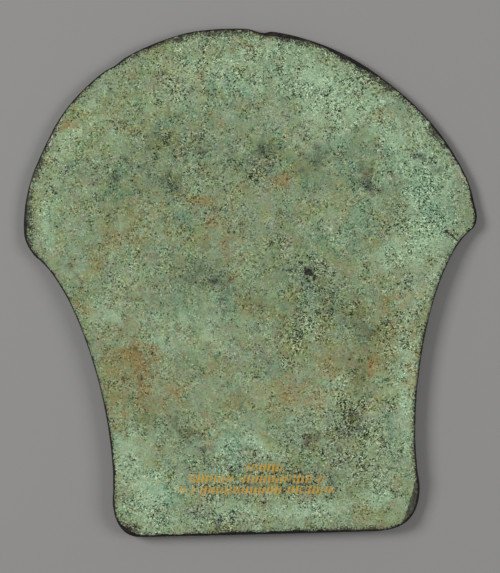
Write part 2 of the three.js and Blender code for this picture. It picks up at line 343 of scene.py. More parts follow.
@dataclass
class Rim:
    """The plate's outline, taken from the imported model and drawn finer, with small wear."""

    node: str = "axe_head"
    step: float = 0.55
    blade_above: float = 19.0
    side_below: float = 12.3
    wear_depth: float = 0.10
    wear_length: float = 6.0
    nibble_depth: float = 0.05
    nibble_length: float = 1.7
    curve_steps: int = 12
    shake: float = 0.12
    line: np.ndarray = field(init=False)
    outward: np.ndarray = field(init=False)

    def __post_init__(self) -> None:
        """Draws the finer, worn line."""
        smooth = self.smoothed(self.read())
        self.outward = self.normals(smooth)
        worn = self.wear_depth * (0.5 + 0.5 * waves(smooth, self.wear_length, 3.1, 2))
        nibbled = self.nibble_depth * (0.5 + 0.5 * waves(smooth, self.nibble_length, 8.4, 2))
        self.line = smooth - self.outward * np.clip(worn + nibbled, 0, None)[:, None]

    def read(self) -> np.ndarray:
        """Finds the loop between the faces that look up and those that look down, anticlockwise."""
        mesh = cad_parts[self.node].data
        corners = np.array([vertex.co for vertex in mesh.vertices]) / MM
        places, place_of = np.unique(np.round(corners, 3), axis=0, return_inverse=True)
        place_of = place_of.ravel()
        looks: dict[tuple[int, int], set[bool]] = {}
        for face in mesh.polygons:
            ring = [int(place_of[index]) for index in face.vertices]
            for start, end in zip(ring, ring[1:] + ring[:1]):
                looks.setdefault((min(start, end), max(start, end)), set()).add(face.normal.z > 0)
        joined: dict[int, list[int]] = {}
        for (start, end), sides in looks.items():
            if len(sides) == 2:
                joined.setdefault(start, []).append(end)
                joined.setdefault(end, []).append(start)
        loop = [min(joined)]
        loop.append(joined[loop[0]][0])
        while loop[-1] != loop[0]:
            here, there = joined[loop[-1]]
            loop.append(there if here == loop[-2] else here)
        line = places[loop[:-1], :2]
        x, y = line.T
        area = np.sum(x * np.roll(y, -1) - y * np.roll(x, -1))
        return line if area > 0 else line[::-1]

    def smoothed(self, line: np.ndarray) -> np.ndarray:
        """Rounds the closed line through its points and spaces new points evenly along it."""
        before, start, end, after = (np.roll(line, shift, axis=0) for shift in (1, 0, -1, -2))
        shares = np.linspace(0, 1, self.curve_steps, endpoint=False)[:, None, None]
        curve = 0.5 * (
            2 * start
            + (end - before) * shares
            + (2 * before - 5 * start + 4 * end - after) * shares**2
            + (3 * start - before - 3 * end + after) * shares**3
        )
        dense = curve.transpose(1, 0, 2).reshape(-1, 2)
        closed = np.vstack((dense, dense[:1]))
        travelled = np.concatenate(([0], np.cumsum(np.linalg.norm(np.diff(closed, axis=0), axis=1))))
        marks = np.linspace(0, travelled[-1], round(travelled[-1] / self.step), endpoint=False)
        return np.column_stack([np.interp(marks, travelled, closed[:, axis]) for axis in (0, 1)])

    def normals(self, line: np.ndarray) -> np.ndarray:
        """Directions that point out of the plate, one for each point of the line."""
        along = np.roll(line, -2, axis=0) - np.roll(line, 2, axis=0)
        out = np.column_stack((along[:, 1], -along[:, 0]))
        return out / np.linalg.norm(out, axis=1, keepdims=True)

    def inset(self, depth: float) -> np.ndarray:
        """The line drawn in by a depth."""
        return self.line - self.outward * depth

    def distances(self, points: np.ndarray) -> tuple[np.ndarray, np.ndarray, np.ndarray]:
        """How far each point is from the cutting edge, from the flanks and butt, and from any rim.

        Args:
            points: plan points, one row each.

        Returns:
            Three arrays of distances.
        """
        north = self.line[:, 1]
        stretches = (north > self.blade_above, north < self.side_below, north < np.inf)
        blade, side, rim = (self.distance_from(np.flatnonzero(part), points) for part in stretches)
        return blade, side, rim

    def distance_from(self, members: np.ndarray, points: np.ndarray) -> np.ndarray:
        """Distance of each point from a stretch of the line.

        Args:
            members: the numbers of the line's points that make the stretch.
            points: plan points, one row each.

        Returns:
            A distance for each point.
        """
        tree = kdtree.KDTree(len(members))
        for member in members:
            tree.insert((*self.line[member], 0.0), int(member))
        tree.balance()
        nearest = np.array([tree.find((x, y, 0.0))[1] for x, y in points])
        gaps = []
        for first in (nearest - 1, nearest):
            start = self.line[first % len(self.line)]
            along = self.line[(first + 1) % len(self.line)] - start
            share = np.clip(((points - start) * along).sum(1) / (along**2).sum(1), 0, 1)
            gaps.append(np.linalg.norm(points - start - share[:, None] * along, axis=1))
        return np.minimum(*gaps)

    def grid_inside(self, pitch: float, rng: np.random.Generator) -> np.ndarray:
        """A slightly shaken grid of triangles' corners that fills the outline.

        Args:
            pitch: distance between neighbours.
            rng: the source of the shaking.

        Returns:
            The corners inside the outline, one row each.
        """
        low, high = self.line.min(0), self.line.max(0)
        following = np.roll(self.line, -1, axis=0)
        rows = []
        for index, y in enumerate(np.arange(low[1], high[1], pitch * math.sqrt(3) / 2)):
            crossed = (self.line[:, 1] > y) != (following[:, 1] > y)
            start, end = self.line[crossed], following[crossed]
            cuts = np.sort(start[:, 0] + (y - start[:, 1]) / (end - start)[:, 1] * (end - start)[:, 0])
            xs = np.arange(low[0] + pitch / 2 * (index % 2), high[0], pitch)
            inside = np.searchsorted(cuts, xs) % 2 == 1
            rows.append(np.column_stack((xs[inside], np.full(inside.sum(), y))))
        corners = np.vstack(rows)
        return corners + rng.uniform(-self.shake, self.shake, corners.shape) * pitch


@dataclass(frozen=True)
class Pit:
    """A rounded hollow in a face: its middle, radius and depth."""

    x: float
    y: float
    radius: float
    depth: float


@dataclass
class Relief:
    """What corrosion, hammering and knocks did to the faces, on top of the plate's own form."""

    hammer_length: float = 15.0
    hammer_depth: float = 0.16
    crust_length: float = 2.4
    crust_depth: float = 0.10
    grain_length: float = 1.1
    grain_depth: float = 0.05
    fade: float = 1.4
    ragged: float = 0.6
    ragged_length: float = 1.3
    random_pits: int = 260
    pit_radius: tuple[float, float] = (0.7, 1.5)
    pit_depth: tuple[float, float] = (0.04, 0.2)
    pits: tuple[Pit, ...] = (
        Pit(17.3, 2.3, 1.15, 0.9), Pit(18.2, 1.7, 0.85, 0.8), Pit(19.0, 0.6, 0.75, 0.5),
        Pit(16.3, 3.3, 0.55, 0.5), Pit(15.1, 5.2, 0.8, 0.5), Pit(14.4, 7.6, 0.7, 0.5),
        Pit(-12.4, 1.2, 1.6, 0.25), Pit(28.2, -43.4, 1.5, 0.3), Pit(30.0, -47.0, 1.1, 0.22),
        Pit(37.9, 28.3, 1.5, 0.25), Pit(23.2, -54.2, 0.9, 0.25), Pit(5.6, 40.2, 1.4, 0.2),
        Pit(10.2, 21.0, 0.9, 0.2), Pit(60.2, 31.8, 1.0, 0.25),
    )
    crack: tuple[tuple[float, float], ...] = ((60.7, 12.7), (61.9, 11.5), (63.0, 10.9), (64.4, 9.4))
    crack_width: float = 0.42
    crack_depth: float = 0.4
    scratch: tuple[tuple[float, float], ...] = ((51.8, 38.4), (54.2, 36.2), (56.6, 34.7), (58.8, 32.6))
    scratch_width: float = 0.6
    scratch_depth: float = 0.2

    def random_pit_list(self, rim: Rim, rng: np.random.Generator) -> list[Pit]:
        """Scatters small pits over the face, from a seeded source."""
        low, high = rim.line.min(0), rim.line.max(0)
        return [
            Pit(
                *rng.uniform(low, high),
                rng.uniform(*self.pit_radius),
                self.pit_depth[0] + (self.pit_depth[1] - self.pit_depth[0]) * rng.random() ** 2,
            )
            for _ in range(self.random_pits)
        ]

    def hollows(self, points: np.ndarray, rim: Rim, rng: np.random.Generator) -> np.ndarray:
        """Depth of the pits, the crack and the scratch of the front face.

        Args:
            points: plan points.
            rim: the outline that the random pits are scattered in.
            rng: the source of the scatter.

        Returns:
            A depth for each point.
        """
        shift = np.column_stack([waves(points, self.ragged_length, seed) for seed in (21.0, 22.0)])
        ragged = points + self.ragged * shift
        depth = np.zeros(len(points))
        for pit in [*self.pits, *self.random_pit_list(rim, rng)]:
            share = ((ragged - (pit.x, pit.y)) ** 2).sum(1) / pit.radius**2
            depth = np.maximum(depth, pit.depth * np.clip(1 - share, 0, 1) ** 0.8)
        for line, width, deep in (
            (self.crack, self.crack_width, self.crack_depth),
            (self.scratch, self.scratch_width, self.scratch_depth),
        ):
            gap = nearest_on(ragged, np.array(line))
            depth = np.maximum(depth, deep * np.clip(1 - (gap / width) ** 2, 0, 1))
        return depth

    def unevenness(self, points: np.ndarray, grit: np.ndarray, seed: float) -> np.ndarray:
        """Height lost to hammering and corrosion, never below zero.

        Args:
            points: plan points.
            grit: how gritty each point is, from 0 to 1.
            seed: picks the face's own pattern.

        Returns:
            A depth for each point.
        """
        hammered = self.hammer_depth * (0.5 + 0.5 * waves(points, self.hammer_length, seed, 2))
        crust = self.crust_depth * (0.5 + 0.5 * waves(points, self.crust_length, seed + 5))
        grain = self.grain_depth * (0.5 + 0.5 * waves(points, self.grain_length, seed + 9))
        return np.clip(hammered + (0.45 + grit) * crust + (0.5 + grit) * grain, 0, None)


def nearest_on(points: np.ndarray, line: np.ndarray) -> np.ndarray:
    """Distance from each point to an open line of a few points."""
    gaps = []
    for start, end in zip(line, line[1:]):
        share = np.clip((points - start) @ (end - start) / ((end - start) @ (end - start)), 0, 1)
        gaps.append(np.linalg.norm(points - start - share[:, None] * (end - start), axis=1))
    return np.min(gaps, axis=0)


@dataclass(frozen=True)
class RimSpot:
    """A stretch of the rim where something shows more: its middle, how far along, and how much."""

    x: float
    y: float
    along: float
    more: float

    def over(self, points: np.ndarray) -> np.ndarray:
        """How strongly the stretch counts at each point."""
        return self.more * np.exp(-((points - (self.x, self.y)) ** 2).sum(1) / self.along**2)


@dataclass
class AxeHead:
    """The whole axe head: one hammered plate with thinned rims, a broken corner and its patina."""

    name: str = "axe_head_patinated"
    node: str = "axe_head"
    slot: str = "patinated_copper"
    # How the plate thins towards its rims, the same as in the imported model.
    cutting_edge_share: float = 0.17
    bevel_width: float = 27.0
    bevel_power: float = 2.2
    side_share: float = 0.62
    side_fall_width: float = 14.0
    side_fall_share: float = 0.14
    side_round: float = 1.8
    back_share: float = 0.38
    # How the rims are rounded, and how far from the cutting edge the flanks' rounding is full.
    edge_round: float = 0.5
    flank_round: float = 1.0
    round_change: float = 8.0
    round_power: float = 2.2
    # The facet of the broken corner, from its inner line outwards.
    chip_from: tuple[float, float] = (46.76, -65.1)
    chip_to: tuple[float, float] = (42.16, -78.3)
    chip_top: float = 6.2
    chip_slope: float = 0.7
    chip_wander: float = 0.35
    chip_rough: float = 0.16
    # The mesh: rings at these depths inside the rim, then a grid, closer in the fine places.
    insets: tuple[float, ...] = (0.02, 0.09, 0.22, 0.45, 0.8, 1.25)
    front_pitch: float = 0.57
    back_pitch: float = 0.98
    fine_pitch: float = 0.3
    ring_gap: float = 0.3
    # The pit, the crack and the broken corner: the middle and reach of each.
    fine_places: tuple[tuple[float, float, float], ...] = (
        (16.6, 4.0, 5.0),
        (62.5, 11.2, 3.0),
        (45.6, -71.5, 6.0),
    )
    # What the dressing needs: the stains' ragged edges, the crust, and how far in the rim is bare and
    # dark, a line that is partly painted shadow along the outline.
    stain_shift: float = 2.2
    stain_shift_length: float = 6.0
    crust_thickness: float = 0.1
    darkest_depth: float = 0.45
    back_grit: float = 0.3
    # The dark bare line along the rim is partly painted shadow along the outline.
    bare_and_shadow_width: float = 0.6
    bare_and_shadow_spots: tuple[RimSpot, ...] = (
        RimSpot(34, 68, 8, 0.9), RimSpot(13, 77, 7, 0.8), RimSpot(-68, 20, 8, 0.4),
        RimSpot(-44, -76, 4, 1.2), RimSpot(0, -79.5, 34, 0.6), RimSpot(-50, -55, 16, 0.25),
        RimSpot(46, -72, 5, 0.3), RimSpot(62, 38, 10, 0.3), RimSpot(69, 20, 6, 0.25),
    )
    tarnish_width: float = 0.85
    tarnish_spots: tuple[RimSpot, ...] = (
        RimSpot(16, 76, 10, 2.4), RimSpot(36, 66, 9, 2.1), RimSpot(46, 58, 6, 1.8),
        RimSpot(-3, 79, 8, 1.4), RimSpot(-17, 78, 9, 1.5), RimSpot(-32, 72, 9, 0.9),
        RimSpot(-49, 62, 9, 0.7), RimSpot(20, -79, 24, 0.5), RimSpot(-65, 36, 10, 1.3),
        RimSpot(-68, 21, 9, 2.0), RimSpot(-14, -77, 6, 1.2), RimSpot(8, -79, 14, 0.7),
        RimSpot(30, -79, 10, 0.9), RimSpot(-51, -50, 18, 0.6), RimSpot(-38, -77, 7, 0.8),
        RimSpot(54, -20, 9, 0.4), RimSpot(48, -50, 16, 0.8), RimSpot(62, 38, 8, 0.4),
        RimSpot(69, 18, 5, 0.5), RimSpot(59, 44, 7, 2.0), RimSpot(-61, 47, 8, 0.8),
    )
    # Whitish flecks on the upper left, and on the upper right a pale strip that is a painted highlight
    # on bare metal.
    chalk_and_highlight_spots: tuple[RimSpot, ...] = (RimSpot(-59.5, 50, 7, 1.0), RimSpot(66.5, 32, 8, 1.15))
    chalk_and_highlight_inset: float = 1.0
    seed: int = 11
    relief: Relief = field(default_factory=Relief)
    rim: Rim = field(default_factory=Rim)

    def thickness(self) -> float:
        """The plate's full thickness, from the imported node."""
        low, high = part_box(self.node)
        return (high.z - low.z) / MM

    def share_left(self, blade: np.ndarray, side: np.ndarray) -> np.ndarray:
        """Share of the full thickness that hammering left.

        Args:
            blade: distances from the cutting edge.
            side: distances from the flanks and the butt.

        Returns:
            A share for each point.
        """
        bevel = (1 - np.clip(blade / self.bevel_width, 0, 1)) ** self.bevel_power
        fall = self.side_fall_share * (1 - np.clip(side / self.side_fall_width, 0, 1)) ** 2
        corner = 1 - np.clip(side / self.side_round, 0, 1)
        arris = (1 - self.side_fall_share - self.side_share) * (1 - np.sqrt(1 - corner**2))
        return (1 - (1 - self.cutting_edge_share) * bevel) * (1 - fall - arris)

    def beyond_chip(self, points: np.ndarray) -> np.ndarray:
        """How far each point lies on the broken side of the chip's inner line."""
        start, end = np.array(self.chip_from), np.array(self.chip_to)
        along = (end - start) / np.linalg.norm(end - start)
        outward = np.array((-along[1], along[0]))
        return (points - start) @ outward + self.chip_wander * waves(points, 3.0, 41.0, 2)

    def faces(self, points: np.ndarray) -> dict[str, np.ndarray]:
        """Heights of the two faces before relief, and what the relief and the dressing need.

        Args:
            points: plan points.

        Returns:
            Arrays named back, front, rim (distance) and broken (0 to 1 on the chip's facet).
        """
        blade, side, rim = self.rim.distances(points)
        thick = self.thickness()
        share = self.share_left(blade, side)
        back = self.back_share * thick * (1 - share)
        front = back + thick * share
        beyond = self.beyond_chip(points)
        rough = self.chip_rough * np.abs(waves(points, 1.3, 42.0))
        facet = self.chip_top - self.chip_slope * beyond - rough
        broken = (beyond > 0) & (facet < front)
        front = np.where(broken, facet, front)
        change = ramp(blade, 0, self.round_change)
        width = self.edge_round + (self.flank_round - self.edge_round) * change
        turned = (1 - (1 - np.clip(rim / width, 0, 1)) ** self.round_power) ** (1 / self.round_power)
        middle = (back + front) / 2
        half = (front - back) / 2 * turned
        broken = broken.astype(float)
        return {"back": middle - half, "front": middle + half, "rim": rim, "broken": broken}

    def face_points(self, pitch: float, fine: bool, rng: np.random.Generator) -> np.ndarray:
        """The points that fill one face inside its innermost ring.

        Args:
            pitch: distance between neighbours.
            fine: whether the pit, the crack and the chip get closer points.
            rng: the source of the grid's shaking.

        Returns:
            Plan points, one row each.
        """
        sets = [self.rim.grid_inside(pitch, rng)]
        for x, y, reach in self.fine_places if fine else ():
            sets = [points[np.hypot(*(points - (x, y)).T) > reach] for points in sets]
            near = self.rim.grid_inside(self.fine_pitch, rng)
            sets.append(near[np.hypot(*(near - (x, y)).T) < reach - self.fine_pitch / 2])
        points = np.vstack(sets)
        _, _, rim = self.rim.distances(points)
        return points[rim > self.insets[-1] + self.ring_gap]

    def fill(self, ring: np.ndarray, points: np.ndarray) -> list[tuple[int, ...]]:
        """Joins a ring and the points inside it with triangles, numbered ring first."""
        corners = [Vector(corner) for corner in np.vstack((ring, points))]
        made = geometry.delaunay_2d_cdt(corners, [], [list(range(len(ring)))], 1, 1e-5)
        return [tuple(made[3][corner][0] for corner in face) for face in made[2]]

    def build(self) -> bpy.types.Object:
        """Builds the plate's mesh with its attributes and hands it to the scene.

        Returns:
            The new object, not yet dressed.
        """
        rng = np.random.default_rng(self.seed)
        rings = [self.rim.inset(depth) for depth in self.insets]
        front_inner = self.face_points(self.front_pitch, True, rng)
        back_inner = self.face_points(self.back_pitch, False, rng)

        front_plan = np.vstack([self.rim.line, *rings, front_inner])
        back_plan = np.vstack([*rings, back_inner])
        front = self.faces(front_plan)
        back = self.faces(back_plan)
        tints = self.front_tints(front_plan)
        hollow = self.relief.hollows(front_plan, self.rim, rng)
        fade = np.clip(front["rim"] / self.relief.fade, 0, 1)
        lost = self.relief.unevenness(front_plan, tints[Tint.GRIT], 1.0)
        bare = self.reach(front_plan, self.bare_and_shadow_width, self.bare_and_shadow_spots)
        flaked = ramp(bare - front["rim"], -0.1, 0.3) * ramp(front["rim"], 0.3, 0.6)
        front_z = front["front"] - fade * (lost + hollow + self.crust_thickness * flaked)
        raised = self.relief.unevenness(back_plan, np.full(len(back_plan), self.back_grit), 61.0)
        back_z = back["back"] + np.clip(back["rim"] / self.relief.fade, 0, 1) * raised

        corners = np.column_stack((np.vstack((front_plan, back_plan)), np.hstack((front_z, back_z))))
        faces = self.joined(len(self.rim.line), rings[-1], front_inner, back_inner)
        mesh = bpy.data.meshes.new(self.name)
        mesh.from_pydata((corners * MM).tolist(), [], faces)
        mesh.shade_smooth()
        values = {tint.value: tints[tint] for tint in Tint}
        values |= {
            "hollow": np.clip(hollow / self.darkest_depth, 0, 1),
            "broken": front["broken"],
            "rim_distance": front["rim"],
            "bare_and_shadow_reach": bare,
            "tarnish_reach": self.reach(front_plan, self.tarnish_width, self.tarnish_spots),
            "chalk_and_highlight": self.chalk_and_highlight(front_plan, front["rim"]),
        }
        back_values = self.back_tints(back_plan) | {
            "rim_distance": back["rim"],
            "bare_and_shadow_reach": self.reach(back_plan, self.bare_and_shadow_width, self.bare_and_shadow_spots),
            "tarnish_reach": self.reach(back_plan, self.tarnish_width, ()),
        }
        for name, upper in values.items():
            lower = back_values.get(name, np.zeros(len(back_plan)))
            attribute = mesh.attributes.new(name, "FLOAT", "POINT")
            attribute.data.foreach_set("value", np.concatenate((upper, lower)).astype(np.float32))
        head = bpy.data.objects.new(self.name, mesh)
        bpy.context.scene.collection.objects.link(head)
        return head

    def joined(
        self, count: int, last_ring: np.ndarray, front_inner: np.ndarray, back_inner: np.ndarray
    ) -> list[tuple[int, ...]]:
        """All the faces of the closed mesh.

        Args:
            count: points in each ring.
            last_ring: the innermost ring, the same on both faces.
            front_inner: the points that fill the front face.
            back_inner: the points that fill the back face.

        Returns:
            Corner numbers of each face, turned outwards.
        """
        rings = len(self.insets)
        front_starts = [count * index for index in range(rings + 1)]
        back_first = count * (rings + 1) + len(front_inner)
        back_starts = [0] + [back_first + count * index for index in range(rings)]
        made = []
        for starts, looks_up in ((front_starts, True), (back_starts, False)):
            for outer, inner in zip(starts, starts[1:]):
                for here in range(count):
                    there = (here + 1) % count
                    strip = (outer + here, outer + there, inner + there, inner + here)
                    made.append(strip if looks_up else strip[::-1])
        for first, inner, looks_up in (
            (front_starts[-1], front_inner, True),
            (back_starts[-1], back_inner, False),
        ):
            for face in self.fill(last_ring, inner):
                numbered = tuple(first + corner for corner in face)
                made.append(numbered if looks_up else numbered[::-1])
        return made

    def front_tints(self, points: np.ndarray) -> dict[Tint, np.ndarray]:
        """Cover of each tint over the front face, with ragged edges."""
        shift = np.column_stack([waves(points, self.stain_shift_length, seed) for seed in (31.0, 32.0)])
        shifted = points + self.stain_shift * shift
        return {tint: layered(rows, shifted) for tint, rows in FRONT_STAINS.items()}

    def back_tints(self, points: np.ndarray) -> dict[str, np.ndarray]:
        """Plainer clouds of the same tints for the face that nobody has seen."""
        amounts = {
            Tint.MINT: (16, 0.9),
            Tint.TEAL: (13, 0.6),
            Tint.OCHRE: (18, 0.9),
            Tint.RUST: (11, 0.8),
            Tint.SLATE: (8, 0.8),
            Tint.GRIT: (20, 0.7),
        }
        made = {}
        for number, (tint, (length, most)) in enumerate(amounts.items()):
            made[tint.value] = most * ramp(waves(points, length, 71.0 + 3 * number), 0.12, 0.55)
        return made

    def reach(self, points: np.ndarray, width: float, spots: tuple[RimSpot, ...]) -> np.ndarray:
        """How far in from the rim something shows.

        Args:
            points: plan points.
            width: how far it shows anywhere.
            spots: where it shows further.

        Returns:
            A distance for each point.
        """
        most = width + sum(spot.over(points) for spot in spots)
        return most * (1 + 0.4 * waves(points, 5.0, 51.0))

    def chalk_and_highlight(self, points: np.ndarray, rim: np.ndarray) -> np.ndarray:
        """Whitish flecks inside the upper left rim, and a pale strip inside the upper right one that is
        a painted highlight on bare metal.
        """
        where = sum(spot.over(points) for spot in self.chalk_and_highlight_spots)
        inside = ramp(np.abs(rim - self.chalk_and_highlight_inset - 0.4 * waves(points, 2.2, 56.0)), 0.32, 0.08)
        return inside * ramp(where * (1 + 2.0 * waves(points, 1.1, 55.0)), 0.5, 0.75)

    def dress(self, head: bpy.types.Object) -> None:
        """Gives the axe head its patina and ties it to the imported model."""
        head.data.materials.append(PatinatedCopper().material())
        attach(head, "root")
        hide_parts(self.node)


@dataclass(frozen=True)
class TintLook:
    """How a tint shows: its colour, the size of its clumps in mm, and how solid it gets."""

    tint: Tint
    colour: str
    clump: float
    solid: float


@dataclass(frozen=True)
class Patches:
    """Soft-edged patches cut from noise, which show from the low level on and fully from the high one.

    The length is the broadest patch in mm, and the seed picks one of many unlike patterns.
    """

    length: float
    seed: float
    low: float
    high: float
    most: float = 1.0


@dataclass(frozen=True)
class Cloud:
    """A tone of the plain crust, and where it shows."""

    colour: str
    patches: Patches


@dataclass(frozen=True)
class Tone:
    """A colour mottled with a second one."""

    first: str
    second: str
    mottling: Patches


@dataclass(frozen=True)
class RimLayer:
    """How a layer ends inside the rim: its noise's length in mm and strength, and its two levels."""

    length: float
    rough: float
    low: float
    high: float


@dataclass(frozen=True)
class Speck:
    """Dots in the crust: a seed, spacing in mm, lightness, share of spots, and how much grit adds."""

    seed: float
    spacing: float
    light: float
    share: float
    more: float


@dataclass(frozen=True)
class StrokeRow:
    """A row of painted strokes, from its left end to its right end."""

    left: tuple[float, float]
    right: tuple[float, float]
    seed: float


@dataclass(frozen=True)
class PatinatedCopper:
    """Cast and hammered copper that lay in the ground until copper carbonates crusted it.

    The eye sees a dull, powdery, uneven green, gritty with dark pits and pale crumbs, stained by
    earth, with smooth dark metal only along the worn rim.
    """

    sage: str = "#90a27d"
    clouds: tuple[Cloud, ...] = (
        Cloud("#95965f", Patches(9.0, 1.0, 0.48, 0.62, 0.5)),
        Cloud("#a0bb94", Patches(7.0, 2.0, 0.50, 0.66, 0.6)),
        Cloud("#a6bd98", Patches(3.0, 3.0, 0.52, 0.66, 0.45)),
        Cloud("#6f8a6c", Patches(2.7, 4.0, 0.54, 0.68, 0.5)),
        Cloud("#9d9268", Patches(2.2, 5.0, 0.54, 0.68, 0.4)),
    )
    looks: tuple[TintLook, ...] = (
        TintLook(Tint.MINT, "#a5c39d", 3.0, 0.8),
        TintLook(Tint.TEAL, "#71997c", 2.6, 0.65),
        TintLook(Tint.OCHRE, "#a08c57", 3.2, 0.65),
        TintLook(Tint.RUST, "#937439", 2.4, 0.62),
        TintLook(Tint.SLATE, "#59675a", 1.9, 0.75),
        TintLook(Tint.UMBER, "#4b3d2a", 1.5, 0.85),
        TintLook(Tint.OLIVE, "#8b9257", 2.8, 0.6),
    )
    # A tint shows where its cover and its clumps together pass a level.
    clump_swing: float = 1.8
    clump_from: float = 1.1
    clump_full: float = 1.85
    # Salts and earth turn the green a little towards pink, blue or yellow in soft blots.
    blot: float = 4.5
    blot_colours: tuple[float, float, float] = (0.165, 0.140, 0.135)
    # The real grit is finer than 0.2 mm. It is drawn as coarse as it needs to show, and its light and
    # dark is partly painted shading of the grit's relief.
    crumb: float = 0.36
    crumb_swing: float = 9.8
    grain: float = 0.42
    grain_swing: float = 2.9
    clot: float = 1.0
    clot_swing: float = 1.3
    # Grit is crowded in patches.
    crowds: Patches = Patches(4.2, 50.0, 0.36, 0.66, 2.0)
    crowd_swing: float = 0.62
    crowd_least: float = 0.38
    grit_swing: float = 1.1
    grit_least: float = 0.5
    swells: tuple[Patches, ...] = (
        Patches(3.0, 52.0, 0.2, 0.8, 0.22),
        Patches(9.0, 53.0, 0.2, 0.8, 0.15),
    )
    # The two dark kinds are pinholes, painted shade in holes that the mesh doesn't have; the pale kind
    # is crumbs.
    specks: tuple[Speck, ...] = (
        Speck(61.0, 0.44, -0.8, 0.06, 0.30),
        Speck(62.0, 0.75, -0.75, 0.02, 0.12),
        Speck(64.0, 0.42, 0.78, 0.11, 0.28),
    )
    speck_reach: tuple[float, float] = (0.3, 0.6)
    # Creases are short cracks in the crust, darkened with painted shade.
    crease: float = 0.75
    crease_dark: float = 0.7
    crease_width: tuple[float, float] = (0.01, 0.06)
    creased: Patches = Patches(1.6, 58.0, 0.52, 0.6)
    # How far the lighter and darker patches move the lightness; they are partly painted highlight and
    # painted shade.
    light_and_highlight_swing: float = 0.27
    dim_and_shade_swing: float = 0.27
    # The share of each change of lightness that becomes grey: dust, painted highlight and painted
    # shade.
    dust_and_painted_light_share: float = 0.4
    dust_and_painted_light_grey: tuple[float, float, float] = (0.262, 0.275, 0.242)
    deepest: tuple[float, float, float] = (0.012, 0.014, 0.010)
    # The rim: copper that handling keeps dark and smooth, and duller tarnish inside it. The dark
    # metal's outer line is partly painted shadow along the outline.
    metal: Tone = Tone("#191613", "#332c25", Patches(2.0, 72.0, 0.45, 0.65))
    tarnish: Tone = Tone("#23231d", "#73735d", Patches(0.5, 74.0, 0.45, 0.65))
    metal_and_shadow_layer: RimLayer = RimLayer(1.0, 1.2, 0.6, 0.8)
    shine_layer: RimLayer = RimLayer(1.0, 1.2, 0.7, 1.0)
    tarnish_layer: RimLayer = RimLayer(0.5, 9.0, 4.4, 5.6)
    tarnish_cover: float = 0.93
    metal_share: float = 0.25
    # Scraps of crust still cling to the tarnish, where these patches end.
    tarnish_clean: Patches = Patches(1.8, 75.0, 0.66, 0.54)
    # Crust is left on the side wall in patches that thin out towards the faces.
    wall_patch: float = 4.5
    wall_levels: tuple[float, float] = (0.46, 0.60)
    wall_least: float = 0.1
    wall_fall: float = 1.1
    # Whitish flecks, and the pale strip that is a painted highlight on bare metal.
    chalk_and_highlight_white: str = "#d9d4c8"
    chalk_and_highlight_cover: float = 0.85
    # Pits, the crack and the scratch darken as they deepen, with dark dirt and painted shade.
    pit_dirt_and_shade: str = "#2b2a22"
    # The broken corner is dull, without the crust's green.
    fracture: Tone = Tone("#474943", "#716e58", Patches(1.1, 73.0, 0.45, 0.65))
    hollow_cover: float = 0.9
    layer_levels: tuple[float, float] = (0.15, 0.8)
    paint: str = "#dcab38"
    crust_roughness: float = 0.85
    metal_roughness: float = 0.45
    paint_roughness: float = 0.55
    crust_bump: float = 0.12
    # Paint strokes, as high and as close as the real rows' characters.
    rows: tuple[StrokeRow, ...] = (
        StrokeRow((-27.2, -63.4), (21.7, -66.0), 3.0),
        StrokeRow((-23.9, -60.0), (20.0, -62.5), 17.0),
        StrokeRow((-6.9, -57.4), (6.2, -58.2), 29.0),
    )
    stroke_height: float = 2.55
    stroke_pitch: float = 1.3
    stroke_width: float = 0.72
    stroke_blur: float = 0.16
    stroke_end_blur: float = 0.2
    stroke_lean: tuple[float, float] = (0.1, 0.5)
    stroke_least: float = 0.78
    strokes_missing: float = 0.12
    paint_left: Patches = Patches(1.3, 81.0, 0.36, 0.48, 0.92)

    def material(self) -> bpy.types.Material:
        """Builds the material, which reads the mesh's attributes."""
        material, at = new_material("patinated_copper")
        tree = material.node_tree
        colour = self.ground(tree, at)
        colour = self.stained(tree, at, colour)
        colour, height = self.gritted(tree, at, colour)
        colour, metal = self.worn(tree, at, colour)
        colour, paint = self.painted(tree, at, colour)
        rough: object = self.crust_roughness
        for mask, value in ((metal, self.metal_roughness), (paint, self.paint_roughness)):
            rough = add_node(tree, "Mix", {0: mask, 2: rough, 3: value}, data_type="FLOAT")
        relief = {"Strength": 1.0, "Distance": self.crust_bump * MM, "Height": height}
        bump = add_node(tree, "Bump", relief)
        surface = {"Base Color": colour, "Roughness": rough, "Metallic": metal, "Normal": bump}
        shader = add_node(tree, "BsdfPrincipled", surface)
        add_node(tree, "OutputMaterial", {"Surface": shader})
        return material

    def patched(self, tree: Tree, at: Socket, patches: Patches) -> Socket:
        """Draws soft-edged patches.

        Args:
            tree: the material's nodes.
            at: the place in mm.
            patches: the patches' size, pattern and levels.

        Returns:
            A mask from 0 to the patches' most.
        """
        cloudy = spread(at, patches.length, patches.seed)
        cloudy = add_node(tree, "TexNoise", cloudy, noise_dimensions="4D")
        low, high, most = patches.low, patches.high, patches.most
        span = {"Value": cloudy, "From Min": low, "From Max": high, "To Max": most}
        return add_node(tree, "MapRange", span, interpolation_type="SMOOTHSTEP")

    def toned(self, tree: Tree, at: Socket, tone: Tone) -> Socket:
        """Mottles a tone's first colour with its second."""
        mask = self.patched(tree, at, tone.mottling)
        layers = {MIX_FACTOR: mask, MIX_BELOW: linear(tone.first), MIX_ABOVE: linear(tone.second)}
        return add_node(tree, "Mix", layers, MIX_RESULT, data_type="RGBA")

